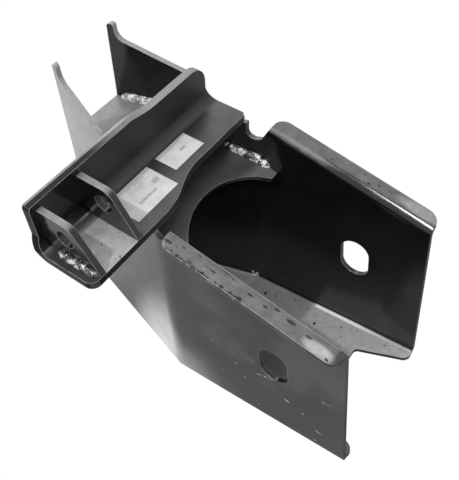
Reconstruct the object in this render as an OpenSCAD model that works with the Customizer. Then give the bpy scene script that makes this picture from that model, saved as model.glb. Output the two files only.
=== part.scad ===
// Suspension hanger bracket of a semi-trailer, lying on its web with the open side up.
// A folded channel carries an L section across it, a shock-absorber clevis, a yoke and a saddle plate.
// Millimetres, +Z up, +X toward the pivot end. The origin is on the pivot axis, midway between the walls.

/* [Hanger channel] */
// Inside width between the two parallel walls
inner_w = 150; // [140:1:170]
// Sheet thickness of the channel
sheet_t = 5; // [4:0.5:6]
// Inner radius of the bends between web and walls
bend_r = 5; // [4:0.5:8]
// Length of the rising web, from the fold to the wall ends
web_len = 211; // [205:0.5:230]
// Angle at which the web rises from the fold
web_rise = 5.9; // [4:0.1:7]
// Length of the level web behind the fold
tail_len = 157; // [150:1:160]
// Angle in plan at which the walls close in behind the fold
close_in = 16.2; // [14:0.1:17]
// Distance from the fold of the web back to the bend of the walls
fold_back = 3; // [0:0.5:5]
// Lean of the tail's end from upright
tail_lean = 1.87; // [0:0.1:3]

/* [Horns] */
// Height of the horn tips above the level web's underside
horn_h = 342; // [338:1:350]
// Width of the upright tip of a horn
tip_w = 6.4; // [5:0.2:9]
// Angle at which the horns fall toward the cross channel
horn_fall = 20; // [17:0.5:21]
// Radius of the hollow beside the tip
horn_hollow_r = 12; // [8:1:14]
// Height of the horns' slope below their tips, at the tip
tip_rise = 15.5; // [14:0.5:18]

/* [Flanges and notches] */
// Height of the flanges' top at the notch, above the level web's underside
flange_h = 258; // [254:1:260]
// Fall of the flanges toward the pivot end
flange_fall = 10.5; // [8:0.5:12]
// Width of a flange beyond the wall
flange_w = 16; // [14:1:22]
// Inner radius of the bend between wall and flange
flange_bend_r = 5; // [3:0.5:6]
// Corner radius of the flanges
flange_corner_r = 12; // [6:1:12]
// Distance from the fold to the flange's start
flange_x = 11; // [9:1:14]
// Radius of the notch's bottom
notch_r = 9; // [7:0.5:10]
// Depth of the notch's bottom below the flange top
notch_depth = 21; // [18:1:26]
// Lean of the notch's flange side
notch_lean = 26.5; // [20:0.5:30]

/* [Web end] */
// Half width of the recess where it opens
recess_open = 62; // [56:1:64]
// Half width of the recess at its bottom
recess_floor = 43.5; // [36:0.5:46]
// Depth of the recess from the wall ends
recess_depth = 55.5; // [40:0.5:60]
// Corner radius at the recess bottom
recess_r = 6; // [3:0.5:10]
// Radius of the two lobes beside the recess
lobe_r = 9.5; // [6:0.5:10]
// How far the lobes stand past the wall ends
lobe_out = 0.5; // [0.5:0.5:3]

/* [Pivot slots] */
// Slot width, for a 30 mm pivot bolt
slot_w = 32; // [26:1:36]
// Slot length, upright
slot_len = 50; // [42:1:60]
// Distance of the slot's centre from the wall ends
slot_from_end = 76.5; // [60:0.5:90]
// Height of the slot's centre above the rising web's underside
slot_h = 120; // [100:1:135]

/* [Cross channel] */
// Sheet thickness of the cross channel
cross_t = 8; // [6:0.5:10]
// Outer radius of its bend
cross_bend_r = 19; // [14:1:22]
// Height of the walls' seat under it, above the level web's underside
seat_h = 256; // [252:1:260]
// Distance from the fold back to the inner face of its back wall
back_x = 62; // [58:1:64]
// Height of its back wall, near half, above the seat
back_near_h = 58; // [54:1:60]
// Height of its back wall, far half, above the seat
back_far_h = 52.8; // [50:0.2:53]
// Reach of its floor past the middle, near side
cross_near = 163; // [158:1:175]
// Reach of its floor past the middle, far side
cross_far = 76; // [72:1:90]
// How much shorter the back wall is at each end
end_trim = 5; // [3:0.5:8]
// Distance of the floor's front edge from the fold, near half
front_near = 1; // [0:0.5:4]
// Distance of the floor's front edge from the fold, far half
front_far = 17.3; // [15:0.1:22]
// Radius of the ear at the far end of the back wall
ear_r = 20; // [12:1:24]

/* [Clevis ribs] */
// Thickness of a rib
rib_t = 6; // [5:0.5:8]
// Clear gap between the ribs
clevis_gap = 40; // [34:1:42]
// Distance from the middle to the inner rib's clevis face
clevis_y = 106; // [104:1:110]
// Height of the ribs above the cross channel's floor
rib_h = 43.5; // [42:0.5:46]
// Length of a rib's level top
rib_top = 36; // [33:1:38]
// Radius of the rib's top corner
rib_corner_r = 12; // [8:1:14]
// Hole for the shock absorber's bolt
clevis_hole_d = 18; // [12:0.5:19]
// Height of the hole above the floor
clevis_hole_h = 25; // [22:0.5:26]
// Distance of the hole from the back wall
clevis_hole_x = 27; // [24:0.5:28]

/* [Yoke and saddle] */
// Thickness of the yoke plate
yoke_t = 6; // [5:0.5:8]
// Height of the yoke's top at the fold, above the level web's underside
yoke_h = 210.4; // [204:0.2:212]
// Fall of the yoke toward the pivot end
yoke_fall = 16.7; // [14:0.1:19]
// Radius of the yoke's round cut-out
yoke_r = 74.7; // [71:0.1:74.7]
// Distance of the cut-out's centre from the fold
yoke_x = 57; // [54:1:60]
// Distance from the fold to the yoke's prong ends
prong_x = 22; // [18:1:26]
// Thickness of the saddle plate
saddle_t = 6; // [5:0.5:8]

/* [Welds and labels] */
// Leg of the yoke and saddle welds
weld_r = 4.5; // [3:0.5:5]
// Leg of the outer rib's foot weld
rib_weld_r = 5.5; // [4:0.5:7]
// Thickness of a label
label_t = 0.4; // [0.3:0.1:0.6]
// Large label: size along X
large_label_x = 37; // [30:1:38]
// Large label: size along Y
large_label_y = 54.5; // [40:0.5:56]
// Small label: size along X
small_label_x = 25; // [20:0.5:28]
// Small label: size along Y
small_label_y = 42; // [30:1:46]

/* [Hidden] */
$fn = 96;
// clearance where one plate lies beside another
gap = 0.3;
// overshoot of cutting bodies
over = 30;
half_w = inner_w / 2 + sheet_t;
bend_out = bend_r + sheet_t;
fold_x = -fold_back;
flange_out = flange_bend_r + sheet_t;
pivot_along = web_len - slot_from_end;
pivot_x = pivot_along * cos(web_rise) - slot_h * sin(web_rise);
pivot_z = pivot_along * sin(web_rise) + slot_h * cos(web_rise);
// cross channel: faces and bend
back_out = -back_x - cross_t;
cross_bend_in = cross_bend_r - cross_t;
floor_z = seat_h + cross_t;
bend_x = back_out + cross_bend_r;
bend_z = seat_h + cross_bend_r;
// notch: its straight side meets the flange's start, its floor is round
notch_floor = flange_h - notch_depth;
notch_cz = notch_floor + notch_r;
notch_cx = flange_x - (flange_h - notch_cz) * tan(notch_lean) - notch_r / cos(notch_lean);
inner_rib_y = -clevis_y + rib_t;
outer_rib_y = -clevis_y - clevis_gap;
// gap kept between a weld's end and the back wall
weld_end = 4;
big = 400;
// keeps a round from only just touching the faces beside it
bend_slack = 0.02;
// ends of the beads stand this much over the beads
bead_swell = 1.03;
// the back wall's top edge steps down between these distances on the near side of the middle
top_step_from = 34;
top_step_to = 9;
// corner radii of the cross channel: back wall, floor at the far end and at the near end
back_corner_r = 4;
far_corner_r = 5;
near_corner_r = 9;
// where the labels start along Y
large_label_y0 = -90;
small_label_y0 = -23;

// moves the drawing from the fold line to the pivot axis
module from_pivot() {
  translate([-pivot_x, 0, -pivot_z]) children();
}

// a side view outline, X and Z, drawn through Y from y0 to y1
module along_y(y0, y1) {
  translate([0, y1, 0]) rotate([90, 0, 0]) linear_extrude(y1 - y0) children();
}

// a front view outline, Y and Z, drawn through X from x0 to x1
module along_x(x0, x1) {
  translate([x0, 0, 0]) rotate([90, 0, 90]) linear_extrude(x1 - x0) children();
}

module both_sides() {
  children();
  mirror([0, 1, 0]) children();
}

// rectangle between two corners
module rect(lo, hi) {
  translate(lo) square(hi - lo);
}

// what a corner of radius r at the origin loses, the sheet lying toward -X and -Y
module corner_waste(r, slack = 0) {
  difference() {
    translate([-r, -r]) square(r + 1);
    translate([-r, -r]) circle(r + slack);
  }
}

// plan of the channel over its outer faces (c = 0), or of a face c inside them
module face_plan(c) {
  apex = fold_x + c * tan(close_in / 2);
  tail_end = -tail_len - over;
  tail_y = half_w - c - (apex - tail_end) * tan(close_in);
  polygon([
    [big, half_w - c], [apex, half_w - c], [tail_end, tail_y],
    [tail_end, -tail_y], [apex, -half_w + c], [big, -half_w + c]
  ]);
}

// what a bend of radius r takes off the foot of a wall whose face lies c inside the outer one
module foot_waste(c, r) {
  both_sides() {
    rotate([0, -web_rise, 0]) along_x(-over, web_len + over)
      translate([half_w - c, c]) mirror([0, 1]) corner_waste(r, bend_slack);
    translate([fold_x, half_w, 0]) rotate([0, 0, close_in]) along_x(-tail_len - 2 * over, over)
      translate([-c, c]) mirror([0, 1]) corner_waste(r, bend_slack);
  }
}

// side view over the web's face c above its underside
module over_web(c) {
  polygon([
    [-big, c], [-c * tan(web_rise / 2), c],
    [big, c / cos(web_rise) + big * tan(web_rise)], [big, 2 * big], [-big, 2 * big]
  ]);
}

// the channel before its edges are cut, filled (c = 0) or the room in it (c = sheet_t)
module channel_block(c, r) {
  difference() {
    intersection() {
      linear_extrude(big) face_plan(c);
      along_y(-half_w - over, half_w + over) over_web(c);
    }
    foot_waste(c, r);
  }
}

// height of the horns' sloping edge
function horn_z(x) = horn_h - tip_rise - (x - tip_x) * tan(horn_fall);
tail_x = -tail_len + horn_h * tan(tail_lean);
tip_x = tail_x + tip_w;
tip_r = 0.45 * tip_w;
hollow_run = horn_hollow_r * tan((90 - horn_fall) / 2);

// side view of the walls: tail, horns, seat, notch, then the edge under the flange bend
module side_outline() {
  flange_drop = flange_out / cos(flange_fall) / (1 + tan(notch_lean) * tan(flange_fall));
  // the notch's bottom is drawn in short flats
  notch_flats = 14;
  notch_sweep = 180 - notch_lean;
  notch_bottom = [
    for (i = [0:notch_flats]) let (a = 180 + i * notch_sweep / notch_flats)
      [notch_cx + notch_r * cos(a), notch_cz + notch_r * sin(a)]
  ];
  difference() {
    polygon(concat([
      [-tail_len - over * tan(tail_lean), -over], [tail_x, horn_h], [tip_x, horn_h],
      [tip_x, horn_z(tip_x) + hollow_run],
      [tip_x + hollow_run * cos(horn_fall), horn_z(tip_x) - hollow_run * sin(horn_fall)],
      [back_out - gap, horn_z(back_out - gap)], [back_out - gap, bend_z], [bend_x - gap, seat_h],
      [notch_cx - notch_r, seat_h]
    ], notch_bottom, [
      [flange_x - flange_drop * tan(notch_lean), flange_h - flange_drop],
      [web_len + over, flange_z(web_len + over)], [web_len + over, -over]
    ]));
    translate([tip_x + horn_hollow_r, horn_z(tip_x) + hollow_run]) circle(horn_hollow_r);
    translate([bend_x - gap, bend_z]) circle(cross_bend_r);
    // round of the tip
    translate([tip_x, horn_h]) corner_waste(tip_r);
    translate([tail_x, horn_h]) mirror([1, 0]) corner_waste(tip_r);
  }
}

// height of the line where the wall runs into the flange bend
function flange_z(x) = flange_h - flange_out / cos(flange_fall) - (x - flange_x) * tan(flange_fall);

// the bend over the wall and the flange outside it, starting at the notch's leaning side
module flange() {
  difference() {
    translate([flange_x, 0, flange_h]) rotate([0, flange_fall, 0])
      along_x(-2 * notch_r, web_len) {
        intersection() {
          translate([half_w + flange_bend_r, -flange_out]) difference() {
            circle(flange_out);
            circle(flange_bend_r);
          }
          rect([0, -flange_out], [half_w + flange_bend_r, 0]);
        }
        rect([half_w + flange_bend_r, -sheet_t], [half_w + flange_w, 0]);
      }
    translate([flange_x, 0, flange_h]) rotate([0, notch_lean, 0])
      translate([-big, 0, -big]) cube([big, big, 2 * big]);
  }
}

// rounds of a flange's two free corners
module flange_corners() {
  corner_y = half_w + flange_w;
  rotate([0, -web_rise, 0]) translate([web_len, corner_y, 0]) linear_extrude(big)
    corner_waste(flange_corner_r);
  translate([flange_x, corner_y, flange_h]) rotate([0, notch_lean, 0]) translate([0, 0, -over])
    linear_extrude(2 * over) mirror([1, 0]) corner_waste(flange_corner_r);
}

lobe_x = web_len + lobe_out - lobe_r;
recess_x = web_len - recess_depth;
recess_angle = atan((recess_open - recess_floor) / recess_depth);
recess_corner_y = recess_floor + recess_r * tan(recess_angle) - recess_r / cos(recess_angle);
lobe_y = recess_floor + (lobe_x - recess_x) * tan(recess_angle) + lobe_r / cos(recess_angle);

// plan of what the web loses at its open end
module recess_outline() {
  difference() {
    union() {
      polygon([
        [recess_x, -recess_corner_y], [recess_x, recess_corner_y],
        [recess_x + recess_r - recess_r * sin(recess_angle), recess_corner_y + recess_r * cos(recess_angle)],
        [lobe_x + lobe_r * sin(recess_angle), lobe_y - lobe_r * cos(recess_angle)],
        [web_len, lobe_y], [web_len + over, lobe_y], [web_len + over, -lobe_y], [web_len, -lobe_y],
        [lobe_x + lobe_r * sin(recess_angle), -lobe_y + lobe_r * cos(recess_angle)],
        [recess_x + recess_r - recess_r * sin(recess_angle), -recess_corner_y - recess_r * cos(recess_angle)]
      ]);
      for (s = [-1, 1]) translate([recess_x + recess_r, s * recess_corner_y])
        circle(recess_r + bend_slack);
    }
    for (s = [-1, 1]) translate([lobe_x, s * lobe_y]) circle(lobe_r + bend_slack);
  }
}

// plan of what lies past the wall ends, lobes left out
module past_end_outline() {
  difference() {
    rect([web_len, -big], [web_len + 2 * over, big]);
    for (s = [-1, 1]) translate([lobe_x, s * lobe_y]) circle(lobe_r + bend_slack);
  }
}

module pivot_slot_outline() {
  straight = (slot_len - slot_w) / 2;
  translate([pivot_along, slot_h]) {
    rect([-slot_w / 2, -straight], [slot_w / 2, straight]);
    translate([0, straight]) circle(d = slot_w);
    translate([0, -straight]) circle(d = slot_w);
  }
}

module hanger_channel() {
  color([0.05, 0.05, 0.055]) from_pivot() difference() {
    union() {
      intersection() {
        difference() {
          channel_block(0, bend_out);
          channel_block(sheet_t, bend_r);
        }
        along_y(-half_w - over, half_w + over) side_outline();
      }
      both_sides() difference() {
        flange();
        flange_corners();
      }
    }
    rotate([0, -web_rise, 0]) {
      translate([0, 0, -over]) linear_extrude(big) past_end_outline();
      translate([0, 0, -1]) linear_extrude(sheet_t + 2) recess_outline();
      along_y(-half_w - over, half_w + over) pivot_slot_outline();
    }
  }
}

// plan of the room between the walls, held off them by c
module room_plan(c) {
  face_plan(sheet_t + c);
}

// side view of the cross channel: back wall, bend and floor
module cross_section() {
  rect([back_out, bend_z], [-back_x, seat_h + back_near_h]);
  rect([bend_x, seat_h], [-front_near, floor_z]);
  intersection() {
    translate([bend_x, bend_z]) difference() {
      circle(cross_bend_r);
      circle(cross_bend_in);
    }
    rect([back_out, seat_h], [bend_x, bend_z]);
  }
}

// plan of the cross channel: its front edge steps back in an S on the far half
module cross_plan() {
  s_len = 70;
  step_back = front_far - front_near;
  s_r = (s_len * s_len + step_back * step_back) / (4 * step_back);
  difference() {
    union() {
      rect([back_out, -cross_near], [-front_far, cross_far]);
      rect([-front_far - 1, -cross_near], [-front_near, -s_len]);
      intersection() {
        rect([-front_far - 1, -s_len - 1], [-front_near, -s_len / 2]);
        translate([-front_near - s_r, -s_len]) circle(s_r, $fn = 360);
      }
      difference() {
        rect([-front_far - 1, -s_len / 2], [-front_far + step_back / 2, 0]);
        translate([-front_far + s_r, 0]) circle(s_r, $fn = 360);
      }
    }
    translate([-front_near, -cross_near]) mirror([0, 1]) corner_waste(near_corner_r);
    translate([-front_far, cross_far]) corner_waste(far_corner_r);
  }
}

// front view of the cross channel: trimmed ends, stepped top edge and the ear
module cross_front() {
  near = -cross_near + end_trim;
  far = cross_far - end_trim;
  trim_z = floor_z + 3 * end_trim;
  near_top = seat_h + back_near_h;
  far_top = seat_h + back_far_h;
  difference() {
    polygon([
      [-cross_near, 0], [-cross_near, floor_z], [near, trim_z], [near, near_top],
      [-top_step_from, near_top], [-top_step_to, far_top], [far, far_top], [far, trim_z],
      [cross_far, floor_z], [cross_far, 0]
    ]);
    translate([far, far_top]) corner_waste(ear_r);
    translate([near, near_top]) mirror([1, 0]) corner_waste(back_corner_r);
  }
}

module cross_channel() {
  color([0.06, 0.06, 0.065]) from_pivot() intersection() {
    along_y(-cross_near, cross_far) cross_section();
    linear_extrude(big) cross_plan();
    along_x(back_out - 1, 1) cross_front();
  }
}

// side view of a rib
module rib_outline() {
  back = -back_x + gap;
  top = floor_z + rib_h;
  knee = [-back_x + rib_top, top];
  foot = [-front_near, floor_z];
  fall = atan2(knee[1] - foot[1], foot[0] - knee[0]);
  run = rib_corner_r * tan(fall / 2);
  relief = cross_bend_in + 1;
  difference() {
    union() {
      polygon([
        [back, floor_z + relief], [back + relief, floor_z], foot,
        knee + run * [cos(fall), -sin(fall)], knee - [run, 0], [back, top]
      ]);
      translate(knee - [run, rib_corner_r]) circle(rib_corner_r);
    }
    translate([-back_x + clevis_hole_x, floor_z + clevis_hole_h]) circle(d = clevis_hole_d);
  }
}

module inner_clevis_rib() {
  color([0.07, 0.07, 0.075]) from_pivot() along_y(inner_rib_y - rib_t, inner_rib_y) rib_outline();
}

module outer_clevis_rib() {
  color([0.07, 0.07, 0.075]) from_pivot() along_y(outer_rib_y - rib_t, outer_rib_y) rib_outline();
}

// carries what is drawn on the yoke's sloping top face
module on_yoke() {
  translate([0, 0, yoke_h]) rotate([0, yoke_fall, 0]) children();
}

module yoke_plate() {
  color([0.06, 0.06, 0.065]) from_pivot() intersection() {
    linear_extrude(big) room_plan(gap);
    on_yoke() translate([0, 0, -yoke_t]) linear_extrude(yoke_t) difference() {
      rect([-back_x / cos(yoke_fall), -half_w], [prong_x / cos(yoke_fall), half_w]);
      translate([yoke_x / cos(yoke_fall), 0]) circle(yoke_r, $fn = 360);
    }
  }
}

saddle_x = -tail_len + seat_h * tan(tail_lean);

module saddle_plate() {
  color([0.06, 0.06, 0.065]) from_pivot() intersection() {
    linear_extrude(big) room_plan(gap);
    translate([saddle_x, -half_w, seat_h - saddle_t]) cube([-saddle_x - back_x / 2, 2 * half_w, saddle_t]);
  }
}

// round end of a bead of radius r
module bead_end(r) {
  sphere(bead_swell * r);
}

// a round bar with round ends along the turned wall, from x0 to x1 before the turn
module turned_bar(x0, x1, r) {
  translate([fold_x, half_w, 0]) rotate([0, 0, close_in]) translate([x0, -sheet_t, 0])
    rotate([0, 90, 0]) {
      cylinder(r = r, h = x1 - x0);
      bead_end(r);
      translate([0, 0, x1 - x0]) bead_end(r);
    }
}

// beads in the corner between the yoke's top and the walls, forward and behind the plan bend
module yoke_welds() {
  slope = atan(tan(yoke_fall) * cos(close_in));
  behind = 33;
  ahead = 15;
  wall_in = half_w - sheet_t;
  bend_in_x = fold_x + sheet_t * tan(close_in / 2);
  color([0.12, 0.12, 0.12]) from_pivot() intersection() {
    linear_extrude(big) room_plan(0);
    on_yoke() translate([-big, -big, 0]) cube([2 * big, 2 * big, 2 * over]);
    both_sides() {
      on_yoke() translate([bend_in_x / cos(yoke_fall), wall_in, 0]) rotate([0, 90, 0])
        cylinder(r = weld_r, h = ahead / cos(yoke_fall));
      translate([bend_in_x, wall_in, yoke_h - bend_in_x * tan(yoke_fall)]) rotate([0, 0, close_in])
        rotate([0, slope - 90, 0]) {
          bead_end(weld_r);
          cylinder(r = weld_r, h = behind / cos(slope));
          translate([0, 0, behind / cos(slope)]) bead_end(weld_r);
        }
    }
  }
}

// beads between the saddle plate's top and the horns
module saddle_welds() {
  color([0.12, 0.12, 0.12]) from_pivot() intersection() {
    linear_extrude(big) room_plan(0);
    translate([saddle_x, -big, seat_h]) cube([back_out - gap - saddle_x, 2 * big, over]);
    both_sides() translate([0, 0, seat_h]) turned_bar(saddle_x + weld_r, back_out - weld_end, weld_r);
  }
}

// beads under the cross channel's floor, along the outside of the walls
module seat_welds() {
  color([0.12, 0.12, 0.12]) from_pivot() difference() {
    intersection() {
      both_sides() translate([fold_x, half_w, seat_h]) rotate([0, 0, close_in])
        translate([bend_x, 0, 0]) rotate([0, 90, 0]) cylinder(r = weld_r, h = -bend_x - front_far);
      translate([-big, -big, seat_h - over]) cube([2 * big, 2 * big, over]);
    }
    linear_extrude(big) face_plan(0);
  }
}

// beads along the feet of the two ribs
module rib_welds() {
  x0 = bend_x + 1;
  x1 = -front_near - rib_weld_r;
  color([0.12, 0.12, 0.12]) from_pivot() {
    intersection() {
      translate([x0, outer_rib_y - rib_t, floor_z]) rotate([0, 90, 0]) {
        cylinder(r = rib_weld_r, h = x1 - x0);
        translate([0, 0, x1 - x0]) bead_end(rib_weld_r);
      }
      translate([-big, -big, floor_z]) cube([2 * big, big + outer_rib_y - rib_t, over]);
    }
    intersection() {
      translate([x0, inner_rib_y, floor_z]) rotate([0, 90, 0]) {
        cylinder(r = weld_r, h = x1 - x0);
        translate([0, 0, x1 - x0]) bead_end(weld_r);
      }
      translate([-big, inner_rib_y, floor_z]) cube([2 * big, big, over]);
    }
  }
}

module large_label() {
  color([0.9, 0.9, 0.88]) from_pivot()
    translate([bend_x, large_label_y0, floor_z]) cube([large_label_x, large_label_y, label_t]);
}

module small_label() {
  color([0.9, 0.9, 0.88]) from_pivot()
    translate([bend_x, small_label_y0, floor_z]) cube([small_label_x, small_label_y, label_t]);
}

hanger_channel();
cross_channel();
inner_clevis_rib();
outer_clevis_rib();
yoke_plate();
saddle_plate();
yoke_welds();
saddle_welds();
seat_welds();
rib_welds();
large_label();
small_label();
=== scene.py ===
import functools
import math
import bpy
import bmesh
from mathutils import Matrix, Vector, noise


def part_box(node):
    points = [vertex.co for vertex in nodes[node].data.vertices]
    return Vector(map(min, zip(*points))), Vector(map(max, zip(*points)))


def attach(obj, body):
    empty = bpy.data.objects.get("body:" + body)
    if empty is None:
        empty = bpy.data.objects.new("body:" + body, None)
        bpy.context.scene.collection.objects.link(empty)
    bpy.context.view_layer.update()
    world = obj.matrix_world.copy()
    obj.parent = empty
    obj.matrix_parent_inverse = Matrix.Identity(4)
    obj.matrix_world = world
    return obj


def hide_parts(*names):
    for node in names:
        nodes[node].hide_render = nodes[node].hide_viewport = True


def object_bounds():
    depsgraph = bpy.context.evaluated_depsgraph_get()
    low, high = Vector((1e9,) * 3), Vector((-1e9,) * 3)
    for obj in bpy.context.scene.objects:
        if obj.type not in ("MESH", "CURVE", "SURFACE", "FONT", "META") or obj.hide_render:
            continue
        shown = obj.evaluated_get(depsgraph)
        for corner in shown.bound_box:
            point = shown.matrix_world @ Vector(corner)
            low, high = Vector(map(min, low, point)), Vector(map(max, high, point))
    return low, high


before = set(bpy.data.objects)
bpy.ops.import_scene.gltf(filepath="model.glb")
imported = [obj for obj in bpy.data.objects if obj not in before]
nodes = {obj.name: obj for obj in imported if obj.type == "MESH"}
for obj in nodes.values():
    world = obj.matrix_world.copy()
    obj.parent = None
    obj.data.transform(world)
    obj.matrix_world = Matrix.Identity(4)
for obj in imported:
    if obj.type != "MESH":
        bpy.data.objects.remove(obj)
cad_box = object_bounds()

MM = 0.001
X, Y, Z = 0, 1, 2

# Places and sizes of the drawing, in mm. Its zero is the middle of the web's fold line, on the underside
PIVOT = Vector((121.4524, 0.0, 133.1899))  # the pivot axis, which is the row frame's zero
WALL_FOLD_X = -3.0                         # where the walls turn in plan
CLOSE = math.radians(16.2)                 # the angle at which they close in behind that
HALF_WIDTH = 75.0                          # from the middle to their inner faces
SHEET = 5.0                                # thickness of the hanger channel
FLANGE_RIM = 96.0                          # from the middle to the flanges' outer edges
FLANGE_TOP = (11.0, 258.0)                 # x and z where the flanges start to fall
FLANGE_SLOPE = math.tan(math.radians(10.5))
YOKE_Z = 210.4                             # top of the yoke plate at x = 0
YOKE_FALL = math.radians(16.7)
SEAT_Z = 256.0                             # top of the saddle plate
FLOOR_Z = 264.0                            # top of the cross channel's floor
RIB_FACES = (-152.0, -100.0)               # the clevis ribs' faces that carry beads
CROSS_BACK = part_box("cross_channel")[0][X] / MM + PIVOT.x

# Colours
BLACK = (0.005, 0.005, 0.0055)
DIRT = (0.014, 0.014, 0.0145)
WELD_BLACK = (0.03, 0.03, 0.03)
# painted glints on the weld beads
WELD_GLINT = (0.95, 0.97, 0.97)
DUST_AND_LIGHT_TINT = (1.0, 1.01, 0.985)
PAPER = (0.57, 0.57, 0.565)
STAINED_PAPER = (0.46, 0.46, 0.455)

# Chips in the flange films and specks on the web: x, y, half length along X and Y
CHIPS = (
    (98.7, -85, 4, 1.6), (114.5, -86, 3, 1.5), (123.6, -82, 3.5, 1.6), (138.4, -84, 6, 2.2),
    (156.8, -86, 4, 1.3), (30, -84, 3, 1.2), (62, -87, 4, 1.3), (80, -82, 2, 0.9), (16, -88, 5, 2.0),
    (45, -82, 2.4, 0.8), (72, -80, 6, 1.0), (118, 84, 3, 1.4), (127, 88, 2.4, 1.2), (110, 91, 2, 1.0),
    (76, 85, 1.6, 0.9))
SPECKS = (
    (126.5, 61, 1.2, 1.0), (124, 72, 1.0, 0.8), (133, 49, 1.1, 0.9), (145, 66, 1.0, 0.8),
    (180.6, 65, 1.2, 0.9), (104, 69, 1.2, 0.8), (60, 66, 1.6, 0.9), (160, 52, 0.8, 0.7))
# Scratches on the near wall: x, z, half length, half thickness, tilt in degrees
SCRATCHES = (
    (77.6, 94, 2.6, 0.9, -50), (48, 112.5, 1.6, 0.9, 20), (88.5, 75.6, 1.6, 0.8, 10),
    (97, 117, 1.5, 0.6, -30), (112, 103, 13, 0.8, 22), (132, 116, 1.2, 1.0, 0),
    (104.7, 62.6, 1.4, 0.8, 0), (139, 81, 3.6, 1.2, -18), (180, 124, 5.5, 0.8, 8),
    (176, 56, 6, 0.7, -20), (158, 75, 2.0, 0.8, 35), (106, 33.6, 1.2, 0.9, 0),
    (175.6, 34, 2.4, 0.6, -10), (60, 60, 1.2, 0.7, 0))
# Printed bars: from and to, as shares of the label's box along X and then Y
LARGE_BARS = (
    (0.14, 0.17, 0.35, 0.80), (0.23, 0.25, 0.35, 0.85), (0.31, 0.33, 0.35, 0.70),
    (0.62, 0.70, 0.30, 0.72), (0.40, 0.54, 0.78, 0.92))
SMALL_BARS = ((0.42, 0.56, 0.52, 0.70),)


def at(x, y, z):
    """A point of the drawing (mm) as a point of the row frame in metres."""
    return (Vector((x, y, z)) - PIVOT) * MM


def grey(tone):
    return (tone, tone, tone)


def assign(obj, mat):
    obj.data.materials.clear()
    obj.data.materials.append(mat)


# Node helpers
class Net:
    """Short calls for building a node tree. Places along an axis are in the drawing's mm."""

    def __init__(self, tree):
        self.tree = tree
        self.obj = self.node("TexCoord").outputs["Object"]
        self.pos = self.split(self.obj)
        geometry = self.node("NewGeometry")
        self.true_normal = geometry.outputs["True Normal"]
        self.facing = self.split(geometry.outputs["Normal"])

    def node(self, kind):
        return self.tree.nodes.new("ShaderNode" + kind)

    def feed(self, sock, value):
        """Gives an input another node's output, a colour or a number."""
        if isinstance(value, bpy.types.NodeSocket):
            self.tree.links.new(value, sock)
        else:
            sock.default_value = (*value, 1.0) if isinstance(value, tuple) else value

    def split(self, vector):
        n = self.node("SeparateXYZ")
        self.feed(n.inputs[0], vector)
        return n.outputs

    def noise(self, scale, detail=3.0, rough=0.5, distort=0.0):
        n = self.node("TexNoise")
        for key, value in (("Vector", self.obj), ("Scale", scale), ("Detail", detail),
                           ("Roughness", rough), ("Distortion", distort)):
            self.feed(n.inputs[key], value)
        return n.outputs["Fac"]

    def ramp(self, value, start, end, a=0.0, b=1.0, smooth=True):
        """Goes from a to b while the value goes from start to end."""
        n = self.node("MapRange")
        n.interpolation_type = "SMOOTHSTEP" if smooth else "LINEAR"
        for key, number in (("Value", value), ("From Min", start), ("From Max", end),
                            ("To Min", a), ("To Max", b)):
            self.feed(n.inputs[key], number)
        return n.outputs[0]

    def along(self, axis, start, end, a=0.0, b=1.0, smooth=True):
        """Goes from a to b between two places on an axis."""
        zero = PIVOT[axis]
        return self.ramp(self.pos[axis], (start - zero) * MM, (end - zero) * MM, a, b, smooth)

    def inside(self, axis, start, end, soft):
        """1 between two places on an axis, fading over soft mm to each side of them."""
        return self.mul(self.along(axis, start - soft, start + soft),
                        self.along(axis, end - soft, end + soft, 1.0, 0.0))

    def from_place(self, axis, place):
        """The distance in metres from a place on an axis."""
        return self.math("SUBTRACT", self.pos[axis], (place - PIVOT[axis]) * MM)

    def math(self, op, *values):
        n = self.node("Math")
        n.operation = op
        for sock, value in zip(n.inputs, values):
            self.feed(sock, value)
        return n.outputs[0]

    def mul(self, *values):
        return functools.reduce(functools.partial(self.math, "MULTIPLY"), values)

    def add(self, *values):
        return functools.reduce(functools.partial(self.math, "ADD"), values)

    def most(self, *values):
        return functools.reduce(functools.partial(self.math, "MAXIMUM"), values)

    def invert(self, value):
        return self.math("SUBTRACT", 1.0, value)

    def vector(self, op, *values):
        n = self.node("VectorMath")
        n.operation = op
        for sock, value in zip(n.inputs, values):
            self.feed(sock, value)
        return n.outputs["Value" if op in ("DOT_PRODUCT", "LENGTH") else "Vector"]

    def mix(self, share, a, b):
        """The colour a, turning into b by the share."""
        n = self.node("Mix")
        n.data_type = "RGBA"
        for sock, value in ((n.inputs["Factor"], share), (n.inputs[6], a), (n.inputs[7], b)):
            self.feed(sock, value)
        return n.outputs[2]

    def bump(self, height, strength, distance, normal=None):
        n = self.node("Bump")
        self.feed(n.inputs["Height"], height)
        self.feed(n.inputs["Strength"], strength)
        self.feed(n.inputs["Distance"], distance)
        if normal is not None:
            self.feed(n.inputs["Normal"], normal)
        return n.outputs[0]

    def bevel(self, radius):
        n = self.node("Bevel")
        n.samples = 6
        self.feed(n.inputs["Radius"], radius)
        return n.outputs[0]


def new_material(name):
    """An empty material and its net."""
    mat = bpy.data.materials.new(name)
    mat.use_nodes = True
    mat.node_tree.nodes.clear()
    return mat, Net(mat.node_tree)


def surface(net, kind):
    """The shader node that the material shows."""
    shader = net.node(kind)
    net.feed(net.node("OutputMaterial").inputs[0], shader.outputs[0])
    return shader


# Black paint
def rim_wear_and_highlight(net, rounded):
    """1 on the cut edges but for the pivot end, where the paint is worn thin and also painted pale as an edge
    highlight.

    On the cut edges the rounded normal departs from the true one.
    """
    agree = net.vector("DOT_PRODUCT", rounded, net.true_normal)
    uneven = net.ramp(net.noise(55.0, 4.0, 0.6), 0.3, 0.55, 0.25, 0.95)
    return net.mul(net.ramp(agree, 0.86, 0.97, 1.0, 0.0), uneven, net.along(X, 181.5, 187.5, 1.0, 0.0))


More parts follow.
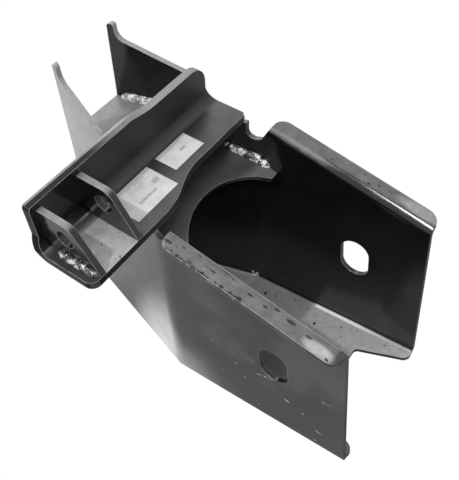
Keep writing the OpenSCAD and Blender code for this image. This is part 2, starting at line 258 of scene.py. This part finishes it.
def paint(name, base=BLACK, rough=0.16, dust_and_light=None, wear_and_light=None, dull=None, matt=None, lean=None):
    """Glossy paint over sheet steel, with faint orange peel and fine dirt; its pale cut edges are partly
    painted edge highlights.

    dust_and_light gives a mask and a grey for dust, painted shade and painted highlights, wear_and_light
    gives pairs of a mask and a colour for wear and painted highlights, dull adds roughness, matt takes shine
    away and lean turns the normal.
    """
    mat, net = new_material(name)
    shader = surface(net, "BsdfPrincipled")
    colour = net.mix(net.ramp(net.noise(14.0, 5.0, 0.6), 0.4, 0.75, 0.0, 0.5), base, DIRT)
    roughness = net.ramp(net.noise(40.0, 4.0, 0.6), 0.3, 0.75, rough - 0.04, rough + 0.08)
    if dust_and_light:
        mask, tone = dust_and_light(net)
        tone = net.mul(tone, net.ramp(net.noise(160.0, 5.0, 0.62), 0.3, 0.7, 0.82, 1.12, smooth=False))
        dust_and_light_colour = net.node("CombineColor")
        for sock, tint in zip(dust_and_light_colour.inputs, DUST_AND_LIGHT_TINT):
            net.feed(sock, net.mul(tone, tint))
        colour = net.mix(mask, colour, dust_and_light_colour.outputs[0])
        holes = net.ramp(net.noise(115.0, 1.5, 0.5), 0.72, 0.745)
        colour = net.mix(net.mul(holes, mask), colour, grey(0.02))
        roughness = net.add(roughness, net.mul(mask, 0.22))
    if wear_and_light:
        for mask, tone in wear_and_light(net):
            colour = net.mix(mask, colour, tone)
            roughness = net.add(roughness, net.mul(mask, 0.15))
    if dull:
        roughness = net.add(roughness, dull(net))
    if matt:
        shine = net.math("SUBTRACT", 0.5, net.mul(matt(net), 0.45))
        net.feed(shader.inputs["Specular IOR Level"], shine)
    rounded = net.bevel(0.9 * MM)
    # pale cut edges: worn paint, and painted edge highlights
    colour = net.mix(rim_wear_and_highlight(net, rounded), colour, grey(0.5))
    normal = lean(net, rounded) if lean else rounded
    net.feed(shader.inputs["Base Color"], colour)
    net.feed(shader.inputs["Roughness"], roughness)
    net.feed(shader.inputs["Normal"], net.bump(net.noise(380.0, 2.0, 0.5), 0.03, 0.3 * MM, normal))
    return mat


def up_facing(net, start=0.75, end=0.93):
    """1 on faces that look up; start and end are upward parts of the normal."""
    return net.ramp(net.facing[Z], start, end)


def oval(net, u, v, core):
    """1 in the oval where u and v squared make less than core, and 0 where they make 1."""
    return net.ramp(net.add(net.mul(u, u), net.mul(v, v)), core, 1.0, 1.0, 0.0)


def patch(net, x, y, half_x, half_y, core=0.25):
    """A soft oval patch in plan."""
    u = net.math("DIVIDE", net.from_place(X, x), half_x * MM)
    v = net.math("DIVIDE", net.from_place(Y, y), half_y * MM)
    return oval(net, u, v, core)


def patches(net, places, core):
    return net.most(*(patch(net, *place, core) for place in places))


def stroke(net, x, z, half_long, half_thick, tilt):
    """A thin scratch on an upright face along X, turned tilt degrees from level."""
    dx, dz = net.from_place(X, x), net.from_place(Z, z)
    c, s = math.cos(math.radians(tilt)), math.sin(math.radians(tilt))
    half_long, half_thick = half_long * MM, half_thick * MM
    u = net.add(net.mul(dx, c / half_long), net.mul(dz, s / half_long))
    v = net.add(net.mul(dx, -s / half_thick), net.mul(dz, c / half_thick))
    return oval(net, u, v, 0.5)


def channel_dust_and_light(net):
    """Dust on the web, the flanges and the horns' cut edges, with painted shade on the web and painted
    highlights on the flanges. The near flange's film ends raggedly.
    """
    web = net.mul(net.inside(Z, -10, 60, 2), up_facing(net, 0.35, 0.98))
    high = net.inside(Z, 200, 300, 2)
    near = net.inside(Y, -120, -60, 1)
    far = net.invert(near)
    # towards the fold the far film runs down over the bend to a wavy edge
    wave = net.ramp(net.noise(45.0, 4.0, 0.6), 0.3, 0.7, -0.16, 0.16, smooth=False)
    spill = net.mul(net.ramp(net.add(net.facing[Z], wave), 0.52, 0.62), net.along(X, 61.5, 91.5, 1.0, 0.0))
    far_top = net.mul(net.most(up_facing(net, 0.88, 0.97), spill), far)
    near_top = net.mul(up_facing(net, 0.35, 0.5), near)
    flanges = net.mul(high, net.add(far_top, near_top))
    across = net.math("ABSOLUTE", net.facing[Y])
    horns = net.mul(net.inside(Z, 262, 400, 2), net.inside(X, -300, -12, 2),
                    net.ramp(across, 0.5, 0.8, 1.0, 0.0))
    # towards the fold the near film stops short of the outer rim or hangs over the cut edge
    ragged = net.ramp(net.noise(85.0, 6.0, 0.75), 0.25, 0.75, -8.0 * MM, 8.0 * MM, smooth=False)
    fold_half = net.along(X, 91.5, 111.5, 1.0, 0.0)
    from_rim = net.add(net.from_place(Y, -FLANGE_RIM), ragged)
    kept = net.most(net.ramp(from_rim, 1.2 * MM, 1.6 * MM), net.invert(fold_half))
    kept = net.mul(kept, net.along(X, 180.5, 184.5, 1.0, 0.25))
    fall = net.mul(net.from_place(X, FLANGE_TOP[0]), FLANGE_SLOPE)
    below_top = net.mul(net.add(net.from_place(Z, FLANGE_TOP[1]), fall, ragged), -1.0)
    hanging = net.mul(net.ramp(below_top, 1.2 * MM, 1.6 * MM, 1.0, 0.0), net.along(Y, -95.7, -95.3, 1.0, 0.0),
                      high, fold_half)
    near_film = net.most(net.mul(flanges, near, kept), hanging)
    mask = net.most(web, horns, net.mul(flanges, far, 0.85), near_film)
    # the web is dusty at its open end; towards the near wall its tone drops as painted shade, where that wall
    # shades it
    web_dust_and_shade = net.along(Y, -20, 30, 0.10, 0.42)
    # crest: a painted highlight along the near flange's bend crest
    crest_highlight = net.mul(near, net.invert(up_facing(net, 0.62, 0.85)))
    # shine: painted highlights on both flanges towards the pivot end
    shine = net.most(patch(net, 169, -90.5, 19, 7.5, 0.05), net.mul(patch(net, 172, 89, 30, 8), 0.6))
    mottle = net.ramp(net.noise(60.0, 5.0, 0.7), 0.3, 0.7, 0.085, 0.145)
    flange_tone = net.add(net.mul(shine, 0.27), net.mul(crest_highlight, 0.25), mottle)
    tone = net.add(net.mul(web, web_dust_and_shade), net.mul(hanging, mottle), net.mul(flanges, flange_tone),
                   net.mul(horns, 0.24))
    return mask, tone


def channel_wear_and_highlights(net):
    """Chips in the films, specks, scratches on the near wall, and painted highlights: pale lines where the
    sheet is bent and white glints on a tack weld's spatter.
    """
    upward = net.facing[Z]
    outer = net.along(Y, -79.5, -78.5, 1.0, 0.0)
    high = net.along(Z, 213.2, 218.2)
    low = net.along(Z, 53.2, 58.2, 1.0, 0.0)
    haze = net.mul(net.ramp(net.noise(9.0, 4.0, 0.6), 0.45, 0.62, 0.0, 0.4), outer)
    rough_rim = net.ramp(net.noise(210.0, 4.0, 0.7), 0.3, 0.7, 0.25, 1.6, smooth=False)
    chips = net.mul(net.ramp(net.mul(patches(net, CHIPS, 0.0), rough_rim), 0.30, 0.36), high)
    pits = net.mul(net.ramp(net.noise(170.0, 4.0, 0.65), 0.59, 0.63, 0.0, 0.8), high,
                   net.along(Y, -79, -77, 1.0, 0.0), net.ramp(upward, 0.5, 0.8),
                   net.along(X, 51.5, 91.5, 1.0, 0.0))
    specks = net.mul(patches(net, SPECKS, 0.6), low)
    broken = net.ramp(net.noise(420.0, 3.0, 0.6), 0.38, 0.55)
    scratches = net.mul(net.most(*(stroke(net, *place) for place in SCRATCHES)), outer, broken)
    # a painted highlight line on the outside of the near foot bend, and another painted highlight line along
    # the far one
    foot_highlight = net.mul(net.ramp(upward, -0.55, -0.45), net.ramp(upward, -0.30, -0.20, 1.0, 0.0), low,
                   net.along(Y, -60, -50, 1.0, 0.0), net.along(X, -3.5, 6.5), 0.8)
    # corner: the bright line along the far foot bend, a painted highlight
    corner = net.mul(net.inside(Y, 70.2, 73.6, 0.9), net.along(X, 83.5, 87.5), low,
                     net.along(X, 121.5, 186.5, 0.95, 0.0))
    # spatter of a tack weld at the fold, in the far corner of the web, painted white as glints
    tack_glints = net.mul(patch(net, -5, 73, 8, 4), net.along(Z, 10.7, 11.7, 1.0, 0.0),
                   net.ramp(net.noise(260.0), 0.5, 0.55))
    return ((haze, grey(0.09)), (net.most(chips, pits), grey(0.006)), (specks, grey(0.015)),
            (scratches, grey(0.5)), (foot_highlight, grey(0.45)), (corner, grey(0.9)), (tack_glints, grey(0.95)))


def channel_dull(net):
    """The sheet's cut ends are rougher than its faces."""
    return net.ramp(net.facing[X], 0.85, 0.93, 0.0, 0.45)


def fold_lean(net, normal):
    """Shades the walls' fold as a round bend: the normal leans towards it over some mm on each side."""
    reach = 9.0
    lean = math.tan(CLOSE / 2)
    fold = (WALL_FOLD_X - PIVOT.x) * MM
    ahead = net.mul(net.along(X, WALL_FOLD_X, WALL_FOLD_X + reach, -lean, 0.0, smooth=False),
                    net.math("GREATER_THAN", net.pos[X], fold))
    behind = net.mul(net.along(X, WALL_FOLD_X - reach, WALL_FOLD_X, 0.0, lean, smooth=False),
                     net.math("LESS_THAN", net.pos[X], fold))
    sideways = net.split(normal)[Y]
    outward = net.math("SIGN", net.mul(net.pos[Y], sideways))
    on_wall = net.ramp(net.math("ABSOLUTE", sideways), 0.85, 0.93)
    shift = net.node("CombineXYZ")
    net.feed(shift.inputs[X], net.mul(net.add(ahead, behind), outward, on_wall))
    return net.vector("NORMALIZE", net.vector("ADD", normal, shift.outputs[0]))


def cross_dust_and_highlight(net):
    """Thin film on the floor, heavier between the ribs and on the cut edge at the top, with a painted
    highlight along that edge's outer corner.
    """
    top = net.inside(Z, 300, 420, 3)
    between = net.mul(net.inside(Y, -146, -106, 1), net.inside(X, -50, 5, 5))
    patchy = net.ramp(net.noise(30.0, 5.0, 0.65), 0.35, 0.6, 0.75, 1.0)
    far_top = net.mul(top, net.along(Y, -90, 0))
    # a painted highlight along the outer corner of the cut edge
    rim_highlight = net.mul(top, net.along(X, CROSS_BACK + 2.2, CROSS_BACK + 2.6, 1.0, 0.0),
                     net.along(Y, -50, -20, 0.2, 0.0))
    return up_facing(net), net.add(net.mul(between, patchy, 0.36), 0.02, rim_highlight, net.mul(far_top, 0.14))


def cross_wear(net):
    """Dark grit on the dusty floor between the ribs."""
    grit = net.ramp(net.noise(210.0, 3.0, 0.6), 0.58, 0.63, 0.0, 0.8)
    drift = net.most(patch(net, -8, -128, 9, 7), patch(net, -20, -106, 9, 3))
    between = net.mul(net.inside(Y, -146, -106, 1), net.inside(Z, 255, 268, 1))
    return ((net.mul(grit, drift, between), grey(0.01)),)


def cross_dull(net):
    """The upright faces are duller than the floor."""
    return net.mul(net.invert(up_facing(net, 0.6, 0.995)), net.inside(Y, -100, 300, 3), 0.36)


def cross_matt(net):
    """The cut end over the near wall and the near half of the top edge shine less."""
    end = net.ramp(net.facing[Y], -0.9, -0.8, 1.0, 0.0)
    top = net.mul(up_facing(net, 0.8, 0.9), net.inside(Z, 290, 420, 3), net.along(Y, -90, -50, 1.0, 0.0))
    return net.most(end, top)


def saddle_dust(net):
    """An even film on the plate between the horns."""
    return up_facing(net), net.ramp(net.noise(25.0, 4.0, 0.6), 0.3, 0.7, 0.19, 0.23)


def yoke_dust(net):
    """A very thin film, heavier on the prongs."""
    base = net.ramp(net.noise(30.0, 4.0, 0.6), 0.3, 0.7, 0.018, 0.03)
    return up_facing(net), net.add(base, net.mul(net.along(X, -6.5, 9.5), 0.09))


def rib_dust(net):
    """The ribs' top edges are dusty, their bolt holes and sloping edges are not."""
    return (net.mul(up_facing(net), net.inside(Z, 306, 420, 3)),
            net.ramp(net.noise(60.0, 4.0, 0.6), 0.3, 0.7, 0.14, 0.22))


def glints(net):
    """Painted white glints on the beads' ripples, on the far side and at the outer rib, and dust on the
    saddle's beads.
    """
    glint_spots = net.mul(net.ramp(net.noise(110.0, 2.0, 0.5, distort=0.8), 0.47, 0.53),
                    net.ramp(net.noise(330.0, 2.0, 0.5), 0.36, 0.46))
    outer_rib = net.mul(net.along(Y, -150, -148, 1.0, 0.0), net.along(X, -18.5, -10.5, 0.6, 0.05),
                        net.ramp(net.noise(190.0, 3.0, 0.6), 0.46, 0.52))
    where = net.most(net.along(Y, 0, 20), outer_rib, 0.06)
    return ((net.along(X, -63.5, -58.5, 0.9, 0.0), grey(0.26)), (net.mul(glint_spots, where), WELD_GLINT))


# Labels
def bar(net, box, from_x, to_x, from_y, to_y):
    """A printed bar between shares of the label's box, with a slightly soft rim."""
    soft = 0.2 * MM
    sides = []
    for axis, start, end in ((X, from_x, to_x), (Y, from_y, to_y)):
        zero, span = box[0][axis], box[1][axis] - box[0][axis]
        start, end = zero + span * start, zero + span * end
        sides.append(net.ramp(net.pos[axis], start - soft, start + soft))
        sides.append(net.ramp(net.pos[axis], end - soft, end + soft, 1.0, 0.0))
    return net.mul(*sides)


def label_material(node, bars):
    """Stained paper with a few plain grey bars, no lettering."""
    mat, net = new_material(node + "_paper")
    shader = surface(net, "BsdfPrincipled")
    colour = net.mix(net.ramp(net.noise(60.0, 4.0, 0.6), 0.35, 0.75), PAPER, STAINED_PAPER)
    worn = net.ramp(net.noise(300.0, 3.0, 0.6), 0.3, 0.6, 0.25, 0.6)
    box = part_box(node)
    for place in bars:
        colour = net.mix(net.mul(bar(net, box, *place), worn), colour, grey(0.16))
    net.feed(shader.inputs["Base Color"], colour)
    net.feed(shader.inputs["Roughness"], 0.55)
    net.feed(shader.inputs["Normal"], net.bump(net.noise(500.0, 2.0, 0.5), 0.1, 0.2 * MM))
    return mat


weld_paint = paint("weld_paint", WELD_BLACK, 0.14, wear_and_light=glints)
rib_paint = paint("rib_paint", dust_and_light=rib_dust)
for piece, material in (
        ("hanger_channel", paint("channel_paint", dust_and_light=channel_dust_and_light, wear_and_light=channel_wear_and_highlights, dull=channel_dull,
                                 lean=fold_lean)),
        ("cross_channel", paint("cross_paint", dust_and_light=cross_dust_and_highlight, wear_and_light=cross_wear, dull=cross_dull,
                                matt=cross_matt)),
        ("saddle_plate", paint("saddle_paint", dust_and_light=saddle_dust)),
        ("yoke_plate", paint("yoke_paint", dust_and_light=yoke_dust)),
        ("inner_clevis_rib", rib_paint), ("outer_clevis_rib", rib_paint),
        ("yoke_welds", weld_paint), ("saddle_welds", weld_paint),
        ("seat_welds", weld_paint), ("rib_welds", weld_paint),
        ("large_label", label_material("large_label", LARGE_BARS)),
        ("small_label", label_material("small_label", SMALL_BARS))):
    assign(nodes[piece], material)


# Weld beads: rippled ones take the place of the smooth CAD beads, and the far ones are a little fuller
BEAD_STEP = 0.45
BEAD_PITCH = 2.6
BEAD_RING = 10
FULL_LEG, PLAIN_LEG, OUTER_RIB_LEG = 6.5, 4.5, 5.6
# how far the beads reach: behind and ahead of the plan bend, behind it, and along X
YOKE_BEAD_BEHIND, YOKE_BEAD_AHEAD = 36.0, 15.0
SADDLE_BEAD = (147.0, 74.0)
RIB_BEAD = (-50, -2)


def bead(verts, faces, path, u_dirs, v_dirs, leg, seed):
    """Adds a rippled fillet along path (mm). u and v point from the corner along the two faces it joins."""
    spans = [(b - a).length for a, b in zip(path, path[1:])]
    length = sum(spans)
    steps = max(8, int(length / BEAD_STEP))
    base = len(verts)
    for i in range(steps + 1):
        s = length * i / steps
        rest, k = s, 0
        while k < len(spans) - 1 and rest > spans[k]:
            rest -= spans[k]
            k += 1
        corner = path[k] + (path[k + 1] - path[k]).normalized() * min(rest, spans[k])
        wander = noise.noise(Vector((s * 0.11, seed * 3.1, 0.0)))
        end = min(1.0, math.sqrt(min(s, length - s) / leg + 0.02))
        for j in range(BEAD_RING + 1):
            angle = math.pi / 2 * j / BEAD_RING
            middle = math.sin(2 * angle)
            phase = s / BEAD_PITCH + 0.55 * middle + 0.25 * wander
            ripple = 0.085 * (1 - (phase - math.floor(phase))) ** 1.5 * middle
            lump = 0.05 * noise.noise(Vector((s * 0.5, angle * 2.0, seed * 7.7)))
            r = min(leg, leg * end * (0.86 + 0.06 * wander + ripple + lump))
            point = corner + u_dirs[k] * (r * math.cos(angle)) + v_dirs[k] * (r * math.sin(angle))
            verts.append((point - PIVOT) * MM)
    row = BEAD_RING + 1
    for i in range(steps):
        for j in range(BEAD_RING):
            a = base + i * row + j
            faces.append((a, a + row, a + row + 1, a + 1))


def bead_piece(name, node, runs, seed):
    """One object for all the runs of a weld node. A run is a path, its u and v directions and its leg."""
    verts, faces = [], []
    for k, run in enumerate(runs):
        bead(verts, faces, *run, seed + k)
    mesh = bpy.data.meshes.new(name)
    mesh.from_pydata([tuple(v) for v in verts], [], faces)
    mesh.validate()
    bm = bmesh.new()
    bm.from_mesh(mesh)
    bmesh.ops.recalc_face_normals(bm, faces=bm.faces)
    bm.to_mesh(mesh)
    bm.free()
    for face in mesh.polygons:
        face.use_smooth = True
    obj = bpy.data.objects.new(name, mesh)
    bpy.context.scene.collection.objects.link(obj)
    assign(obj, weld_paint)
    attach(obj, "root")
    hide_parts(node)


BEND_X = WALL_FOLD_X + SHEET * math.tan(CLOSE / 2)
UP = Vector((0, 0, 1))
YOKE_TOP = Vector((math.sin(YOKE_FALL), 0, math.cos(YOKE_FALL)))


def wall_point(d, z, side):
    """A point on a wall's inner face, d mm behind the plan bend."""
    return Vector((BEND_X - d * math.cos(CLOSE), side * (HALF_WIDTH - d * math.sin(CLOSE)), z))


def closing_normal(side):
    """The inward normal of a wall behind the plan bend."""
    return Vector((math.sin(CLOSE), -side * math.cos(CLOSE), 0))


def on_yoke(x, y):
    return Vector((x, y, YOKE_Z - x * math.tan(YOKE_FALL)))


yoke_runs, saddle_runs = [], []
for side, leg in ((1, FULL_LEG), (-1, PLAIN_LEG)):
    inward = closing_normal(side)
    start = wall_point(YOKE_BEAD_BEHIND, 0, side)
    path = [on_yoke(start.x, start.y), on_yoke(BEND_X, side * HALF_WIDTH),
            on_yoke(BEND_X + YOKE_BEAD_AHEAD, side * HALF_WIDTH)]
    lean = inward.dot(YOKE_TOP)
    across_yoke = [(inward - YOKE_TOP * lean).normalized(), Vector((0, -side, 0))]
    up_wall = [(YOKE_TOP - inward * lean).normalized(), YOKE_TOP]
    yoke_runs.append((path, across_yoke, up_wall, leg))
    path = [wall_point(d, SEAT_Z, side) for d in SADDLE_BEAD]
    saddle_runs.append((path, [inward], [UP], leg))
rib_runs = [([Vector((x, y, FLOOR_Z)) for x in RIB_BEAD], [Vector((0, way, 0))], [UP], leg)
            for y, way, leg in zip(RIB_FACES, (-1, 1), (OUTER_RIB_LEG, PLAIN_LEG))]
bead_piece("yoke_beads", "yoke_welds", yoke_runs, 1)
bead_piece("saddle_beads", "saddle_welds", saddle_runs, 11)
bead_piece("rib_beads", "rib_welds", rib_runs, 21)

# Camera, solved from the photograph's edges: the place in mm, the focal length and the width in pixels
CAMERA_PLACE = (281.769, -348.527, 722.999)
CAMERA_RIGHT = Vector((0.81223554, 0.58281234, -0.02523219))
CAMERA_BACK = Vector((0.37677686, -0.49106455, 0.78548171))
FOCAL_PX, WIDTH_PX, SENSOR = 695.64, 459.0, 36.0
cam_data = bpy.data.cameras.new("camera")
cam = bpy.data.objects.new("camera", cam_data)
bpy.context.scene.collection.objects.link(cam)
up = CAMERA_BACK.cross(CAMERA_RIGHT).normalized()
right = up.cross(CAMERA_BACK).normalized()
turn = Matrix((right, up, CAMERA_BACK.normalized())).transposed().to_4x4()
cam.matrix_world = Matrix.Translation(at(*CAMERA_PLACE)) @ turn
cam_data.sensor_fit = "HORIZONTAL"
cam_data.sensor_width = SENSOR
cam_data.lens = FOCAL_PX * SENSOR / WIDTH_PX
cam_data.clip_start = 0.01
bpy.context.scene.camera = cam


# Backdrop and light
def glowing(name, kind, strength):
    """A material that turns from a shader of the given kind into a glow.

    Returns the material, its net, that shader and the input for the share of glow.
    """
    mat, net = new_material(name)
    both = surface(net, "MixShader")
    plain_shader, glow = net.node(kind), net.node("Emission")
    net.feed(glow.inputs["Strength"], strength)
    net.feed(both.inputs[1], plain_shader.outputs[0])
    net.feed(both.inputs[2], glow.outputs[0])
    return mat, net, plain_shader, both.inputs[0]


def stage_plane(name, size, place, mat):
    bpy.ops.mesh.primitive_plane_add(size=size, location=place)
    plane = bpy.context.object
    plane.name = name
    assign(plane, mat)
    return plane


def soft_card(name, x, y, size_x, size_y, strength):
    """A glowing patch on the floor that fades to nothing at its rim; only reflections show it."""
    mat, net, _, share = glowing(name, "BsdfTransparent", strength)
    net.feed(share, net.ramp(net.vector("LENGTH", net.obj), 0.0, 0.5, 1.0, 0.0))
    card = stage_plane(name, 1.0, at(x, y, 0.6), mat)
    card.scale = (size_x * MM, size_y * MM, 1.0)
    card.visible_camera = False


def area(name, aim, direction, distance, size_x, size_y, radiance):
    """A lamp that looks at a drawing point from a direction. A radiance of 1 is the backdrop's white."""
    data = bpy.data.lights.new(name, "AREA")
    data.shape = "RECTANGLE"
    data.size = size_x
    data.size_y = size_y
    data.energy = radiance * math.pi * size_x * size_y
    lamp = bpy.data.objects.new(name, data)
    bpy.context.scene.collection.objects.link(lamp)
    away = Vector(direction).normalized() * distance
    lamp.location = at(*aim) + away
    lamp.rotation_euler = (-away).to_track_quat("-Z", "Y").to_euler()
    lamp.visible_camera = False
    return lamp


floor_paint, floor_net, floor_diffuse, floor_share = glowing("floor_white", "BsdfDiffuse", 1.0)
floor_net.feed(floor_diffuse.inputs["Color"], grey(0.55))
floor_net.feed(floor_share, floor_net.node("LightPath").outputs["Is Camera Ray"])
stage_plane("floor", 12.0, (0.0, 0.0, cad_box[0][Z] - 0.2 * MM), floor_paint)

world = bpy.data.worlds.new("world")
bpy.context.scene.world = world
world.use_nodes = True
sky = world.node_tree.nodes["Background"]
sky.inputs["Color"].default_value = (1.0, 1.0, 1.0, 1.0)
sky.inputs["Strength"].default_value = 1.0

area("key", (60, 0, 60), (-0.285, -0.43, 0.86), 2.4, 0.05, 0.05, 2300.0)
area("softbox", (-60, 0, 256), (-0.53, 0.47, 0.70), 1.7, 1.1, 1.1, 1.9)
strip = area("right_strip", (150, 82, 232), (0.215, -0.42, 0.89), 1.6, 0.26, 0.7, 45.0)
strip.visible_diffuse = False
soft_card("card_fold", -36, -76, 210, 72, 2.3)
soft_card("card_horn", -500, -75, 700, 320, 2.0)

bpy.context.scene.view_settings.view_transform = "Standard"
